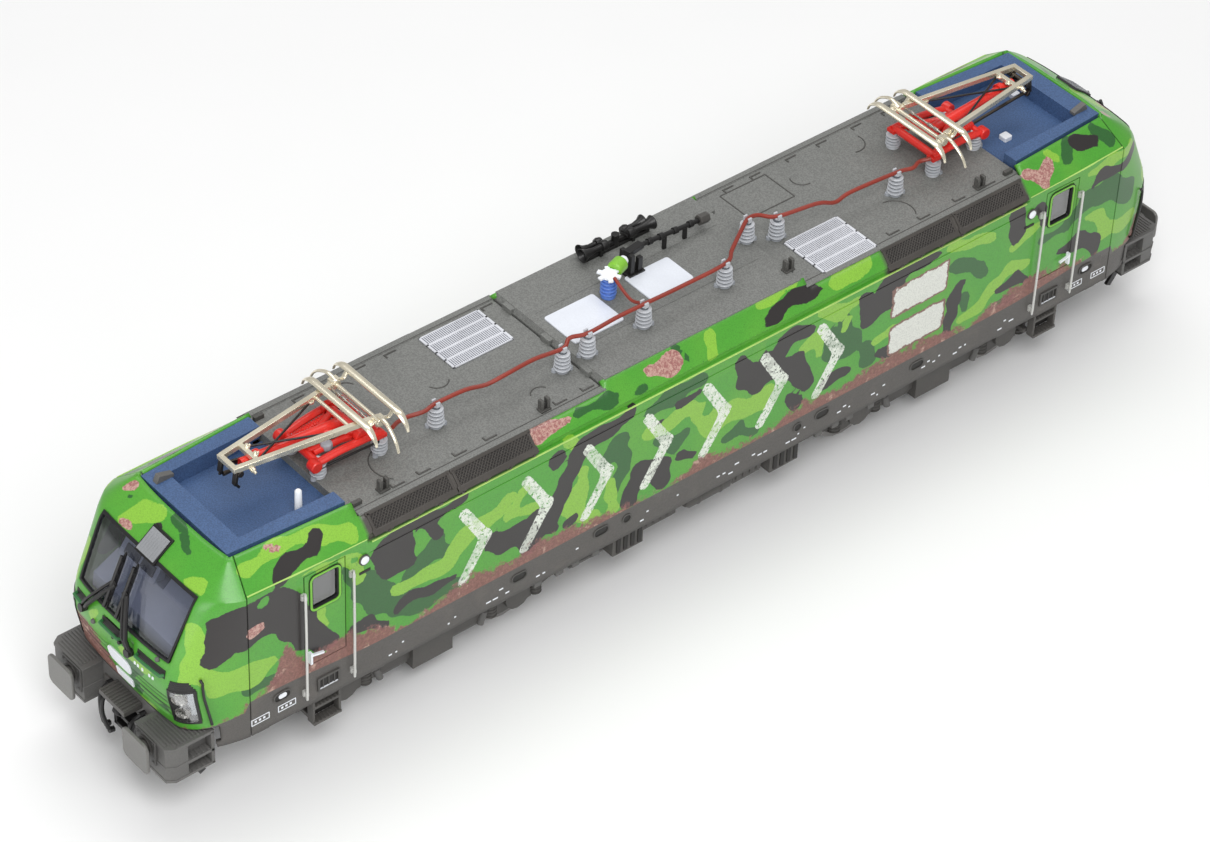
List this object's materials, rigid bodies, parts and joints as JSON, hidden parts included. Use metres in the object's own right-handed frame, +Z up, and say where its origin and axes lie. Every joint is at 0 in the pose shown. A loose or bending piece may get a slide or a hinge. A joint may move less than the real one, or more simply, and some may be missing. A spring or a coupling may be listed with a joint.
{
  "type": "model electric locomotive",
  "caption": "Scale model of a modern electric locomotive with swivelling geared bogies, roof pantographs that raise, sprung buffers and coupler pockets.",
  "frame": {"origin": "rail-top height on the centre line, midway between the buffers; only the wheel flanges reach below it, by 0.9 mm", "axes": "+X along the track towards cab 2, +Y across the track, +Z up"},
  "size_m": [0.2182, 0.0344, 0.0528],
  "materials": {
    "camo_shell": "satin camouflage print",
    "roof_grey": "matt",
    "roof_blue": "satin",
    "frame_grey": "matt",
    "glazing": "clear",
    "interior_grey": "matt",
    "cast_weight": "cast",
    "board_green": "gloss",
    "light_guide": "clear",
    "steel": "machined",
    "brass": "machined",
    "gear_plastic": "moulded",
    "black_plastic": "matt",
    "red_paint": "satin",
    "panto_metal": "plated",
    "busbar_red": "satin"
  },
  "bodies": {
    "locomotive_body": {"body_shell": "camo_shell", "roof_hatch_1": "roof_grey", "roof_hatch_2": "roof_grey", "roof_hatch_3": "roof_grey", "cab_roof_1": "roof_blue", "cab_roof_2": "roof_blue", "cab_glazing_1": "glazing", "cab_glazing_2": "glazing", "cab_interior_1": "interior_grey", "cab_interior_2": "interior_grey", "light_guide_1": "light_guide", "light_guide_2": "light_guide", "circuit_board": "board_green", "equipment_box": "frame_grey", "chassis_frame": "cast_weight", "motor_can": "steel", "buffer_beam_1": "frame_grey", "buffer_beam_2": "frame_grey", "roof_busbar": "busbar_red", "main_breaker": "interior_grey", "air_horns": "black_plastic", "pantograph_base_1": "red_paint", "pantograph_base_2": "red_paint"},
    "motor_armature": {"motor_rotor": "steel", "flywheel_1": "brass", "flywheel_2": "brass"},
    "cardan_1": {"cardan_shaft_1": "black_plastic"},
    "bogie_1": {"bogie_frame_1": "frame_grey", "gearbox_1": "cast_weight", "gearbox_cover_1": "black_plastic"},
    "worm_1": {"worm_1": "brass"},
    "worm_gear_1": {"worm_gear_1": "gear_plastic"},
    "idler_gear_1a": {"idler_gear_1a": "gear_plastic"},
    "wheelset_1a": {"wheelset_1a": "steel"},
    "idler_gear_1b": {"idler_gear_1b": "gear_plastic"},
    "wheelset_1b": {"wheelset_1b": "steel"},
    "cardan_2": {"cardan_shaft_2": "black_plastic"},
    "bogie_2": {"bogie_frame_2": "frame_grey", "gearbox_2": "cast_weight", "gearbox_cover_2": "black_plastic"},
    "worm_2": {"worm_2": "brass"},
    "worm_gear_2": {"worm_gear_2": "gear_plastic"},
    "idler_gear_2a": {"idler_gear_2a": "gear_plastic"},
    "wheelset_2a": {"wheelset_2a": "steel"},
    "idler_gear_2b": {"idler_gear_2b": "gear_plastic"},
    "wheelset_2b": {"wheelset_2b": "steel"},
    "buffer_1": {"buffer_1": "frame_grey"},
    "buffer_2": {"buffer_2": "frame_grey"},
    "buffer_3": {"buffer_3": "frame_grey"},
    "buffer_4": {"buffer_4": "frame_grey"},
    "coupler_1": {"coupler_pocket_1": "black_plastic"},
    "coupler_2": {"coupler_pocket_2": "black_plastic"},
    "pantograph_1_lower_arm": {"pantograph_lower_arm_1": "red_paint"},
    "pantograph_1_upper_arm": {"pantograph_upper_arm_1": "panto_metal"},
    "pantograph_1_head": {"pantograph_head_1": "panto_metal"},
    "pantograph_1_rod": {"pantograph_rod_1": "black_plastic"},
    "pantograph_2_lower_arm": {"pantograph_lower_arm_2": "red_paint"},
    "pantograph_2_upper_arm": {"pantograph_upper_arm_2": "panto_metal"},
    "pantograph_2_head": {"pantograph_head_2": "panto_metal"},
    "pantograph_2_rod": {"pantograph_rod_2": "black_plastic"}
  },
  "joints": [
    {"name": "motor_spin", "type": "hinge", "parent": "locomotive_body", "child": "motor_armature", "pos_m": [0, 0, 0.0195], "axis": [1, 0, 0], "continuous": true},
    {"name": "cardan_1_spin", "type": "hinge", "parent": "locomotive_body", "child": "cardan_1", "pos_m": [-0.035, 0, 0.0195], "axis": [1, 0, 0], "continuous": true},
    {"name": "bogie_1_swivel", "type": "hinge", "parent": "locomotive_body", "child": "bogie_1", "pos_m": [-0.0546, 0, 0.012], "axis": [0, 0, 1], "range_deg": [-8, 8]},
    {"name": "worm_1_spin", "type": "hinge", "parent": "bogie_1", "child": "worm_1", "pos_m": [-0.0546, 0, 0.0195], "axis": [1, 0, 0], "continuous": true},
    {"name": "worm_gear_1_spin", "type": "hinge", "parent": "bogie_1", "child": "worm_gear_1", "pos_m": [-0.0546, 0, 0.0125], "axis": [0, 1, 0], "continuous": true},
    {"name": "idler_gear_1a_spin", "type": "hinge", "parent": "bogie_1", "child": "idler_gear_1a", "pos_m": [-0.04545, 0, 0.01111], "axis": [0, 1, 0], "continuous": true},
    {"name": "wheelset_1a_spin", "type": "hinge", "parent": "bogie_1", "child": "wheelset_1a", "pos_m": [-0.03735, 0, 0.0072], "axis": [0, 1, 0], "continuous": true},
    {"name": "idler_gear_1b_spin", "type": "hinge", "parent": "bogie_1", "child": "idler_gear_1b", "pos_m": [-0.06375, 0, 0.01111], "axis": [0, 1, 0], "continuous": true},
    {"name": "wheelset_1b_spin", "type": "hinge", "parent": "bogie_1", "child": "wheelset_1b", "pos_m": [-0.07185, 0, 0.0072], "axis": [0, 1, 0], "continuous": true},
    {"name": "cardan_2_spin", "type": "hinge", "parent": "locomotive_body", "child": "cardan_2", "pos_m": [0.035, 0, 0.0195], "axis": [1, 0, 0], "continuous": true},
    {"name": "bogie_2_swivel", "type": "hinge", "parent": "locomotive_body", "child": "bogie_2", "pos_m": [0.0546, 0, 0.012], "axis": [0, 0, 1], "range_deg": [-8, 8]},
    {"name": "worm_2_spin", "type": "hinge", "parent": "bogie_2", "child": "worm_2", "pos_m": [0.0546, 0, 0.0195], "axis": [1, 0, 0], "continuous": true},
    {"name": "worm_gear_2_spin", "type": "hinge", "parent": "bogie_2", "child": "worm_gear_2", "pos_m": [0.0546, 0, 0.0125], "axis": [0, 1, 0], "continuous": true},
    {"name": "idler_gear_2a_spin", "type": "hinge", "parent": "bogie_2", "child": "idler_gear_2a", "pos_m": [0.04545, 0, 0.01111], "axis": [0, 1, 0], "continuous": true},
    {"name": "wheelset_2a_spin", "type": "hinge", "parent": "bogie_2", "child": "wheelset_2a", "pos_m": [0.03735, 0, 0.0072], "axis": [0, 1, 0], "continuous": true},
    {"name": "idler_gear_2b_spin", "type": "hinge", "parent": "bogie_2", "child": "idler_gear_2b", "pos_m": [0.06375, 0, 0.01111], "axis": [0, 1, 0], "continuous": true},
    {"name": "wheelset_2b_spin", "type": "hinge", "parent": "bogie_2", "child": "wheelset_2b", "pos_m": [0.07185, 0, 0.0072], "axis": [0, 1, 0], "continuous": true},
    {"name": "buffer_1_press", "type": "slide", "parent": "locomotive_body", "child": "buffer_1", "axis": [1, 0, 0], "range_m": [0, 0.0011], "stiffness_N_per_m": 150, "springref_m": -0.0005},
    {"name": "buffer_2_press", "type": "slide", "parent": "locomotive_body", "child": "buffer_2", "axis": [1, 0, 0], "range_m": [0, 0.0011], "stiffness_N_per_m": 150, "springref_m": -0.0005},
    {"name": "buffer_3_press", "type": "slide", "parent": "locomotive_body", "child": "buffer_3", "axis": [-1, 0, 0], "range_m": [0, 0.0011], "stiffness_N_per_m": 150, "springref_m": -0.0005},
    {"name": "buffer_4_press", "type": "slide", "parent": "locomotive_body", "child": "buffer_4", "axis": [-1, 0, 0], "range_m": [0, 0.0011], "stiffness_N_per_m": 150, "springref_m": -0.0005},
    {"name": "coupler_1_swing", "type": "hinge", "parent": "locomotive_body", "child": "coupler_1", "pos_m": [-0.094, 0, 0.0086], "axis": [0, 0, 1], "range_deg": [-12, 12]},
    {"name": "coupler_2_swing", "type": "hinge", "parent": "locomotive_body", "child": "coupler_2", "pos_m": [0.094, 0, 0.0086], "axis": [0, 0, 1], "range_deg": [-12, 12]},
    {"name": "pantograph_1_raise", "type": "hinge", "parent": "locomotive_body", "child": "pantograph_1_lower_arm", "pos_m": [-0.0615, 0, 0.0475], "axis": [0, 1, 0], "range_deg": [0, 45]},
    {"name": "pantograph_1_elbow", "type": "hinge", "parent": "pantograph_1_lower_arm", "child": "pantograph_1_upper_arm", "pos_m": [-0.0825, 0, 0.0495], "axis": [0, 1, 0], "range_deg": [-94, 0]},
    {"name": "pantograph_1_level", "type": "hinge", "parent": "pantograph_1_upper_arm", "child": "pantograph_1_head", "pos_m": [-0.0591, 0, 0.0502], "axis": [0, 1, 0], "range_deg": [0, 49]},
    {"name": "pantograph_1_thrust", "type": "hinge", "parent": "locomotive_body", "child": "pantograph_1_rod", "pos_m": [-0.0653, 0, 0.0456], "axis": [0, 1, 0], "range_deg": [0, 55]},
    {"name": "pantograph_2_raise", "type": "hinge", "parent": "locomotive_body", "child": "pantograph_2_lower_arm", "pos_m": [0.0615, 0, 0.0475], "axis": [0, -1, 0], "range_deg": [0, 45]},
    {"name": "pantograph_2_elbow", "type": "hinge", "parent": "pantograph_2_lower_arm", "child": "pantograph_2_upper_arm", "pos_m": [0.0825, 0, 0.0495], "axis": [0, -1, 0], "range_deg": [-94, 0]},
    {"name": "pantograph_2_level", "type": "hinge", "parent": "pantograph_2_upper_arm", "child": "pantograph_2_head", "pos_m": [0.0591, 0, 0.0502], "axis": [0, -1, 0], "range_deg": [0, 49]},
    {"name": "pantograph_2_thrust", "type": "hinge", "parent": "locomotive_body", "child": "pantograph_2_rod", "pos_m": [0.0653, 0, 0.0456], "axis": [0, -1, 0], "range_deg": [0, 55]}
  ],
  "couplings": [
    {"joint": "cardan_1_spin", "follows": "motor_spin", "ratio": 1},
    {"joint": "worm_1_spin", "follows": "motor_spin", "ratio": 1},
    {"joint": "worm_gear_1_spin", "follows": "motor_spin", "ratio": -0.055556},
    {"joint": "idler_gear_1a_spin", "follows": "motor_spin", "ratio": 0.052632},
    {"joint": "wheelset_1a_spin", "follows": "motor_spin", "ratio": -0.058824},
    {"joint": "idler_gear_1b_spin", "follows": "motor_spin", "ratio": 0.052632},
    {"joint": "wheelset_1b_spin", "follows": "motor_spin", "ratio": -0.058824},
    {"joint": "cardan_2_spin", "follows": "motor_spin", "ratio": 1},
    {"joint": "worm_2_spin", "follows": "motor_spin", "ratio": 1},
    {"joint": "worm_gear_2_spin", "follows": "motor_spin", "ratio": -0.055556},
    {"joint": "idler_gear_2a_spin", "follows": "motor_spin", "ratio": 0.052632},
    {"joint": "wheelset_2a_spin", "follows": "motor_spin", "ratio": -0.058824},
    {"joint": "idler_gear_2b_spin", "follows": "motor_spin", "ratio": 0.052632},
    {"joint": "wheelset_2b_spin", "follows": "motor_spin", "ratio": -0.058824},
    {"joint": "pantograph_1_elbow", "follows": "pantograph_1_raise", "ratio": -2.08},
    {"joint": "pantograph_1_level", "follows": "pantograph_1_raise", "ratio": 1.08},
    {"joint": "pantograph_1_thrust", "follows": "pantograph_1_raise", "ratio": 1.218},
    {"joint": "pantograph_2_elbow", "follows": "pantograph_2_raise", "ratio": -2.08},
    {"joint": "pantograph_2_level", "follows": "pantograph_2_raise", "ratio": 1.08},
    {"joint": "pantograph_2_thrust", "follows": "pantograph_2_raise", "ratio": 1.218}
  ]
}
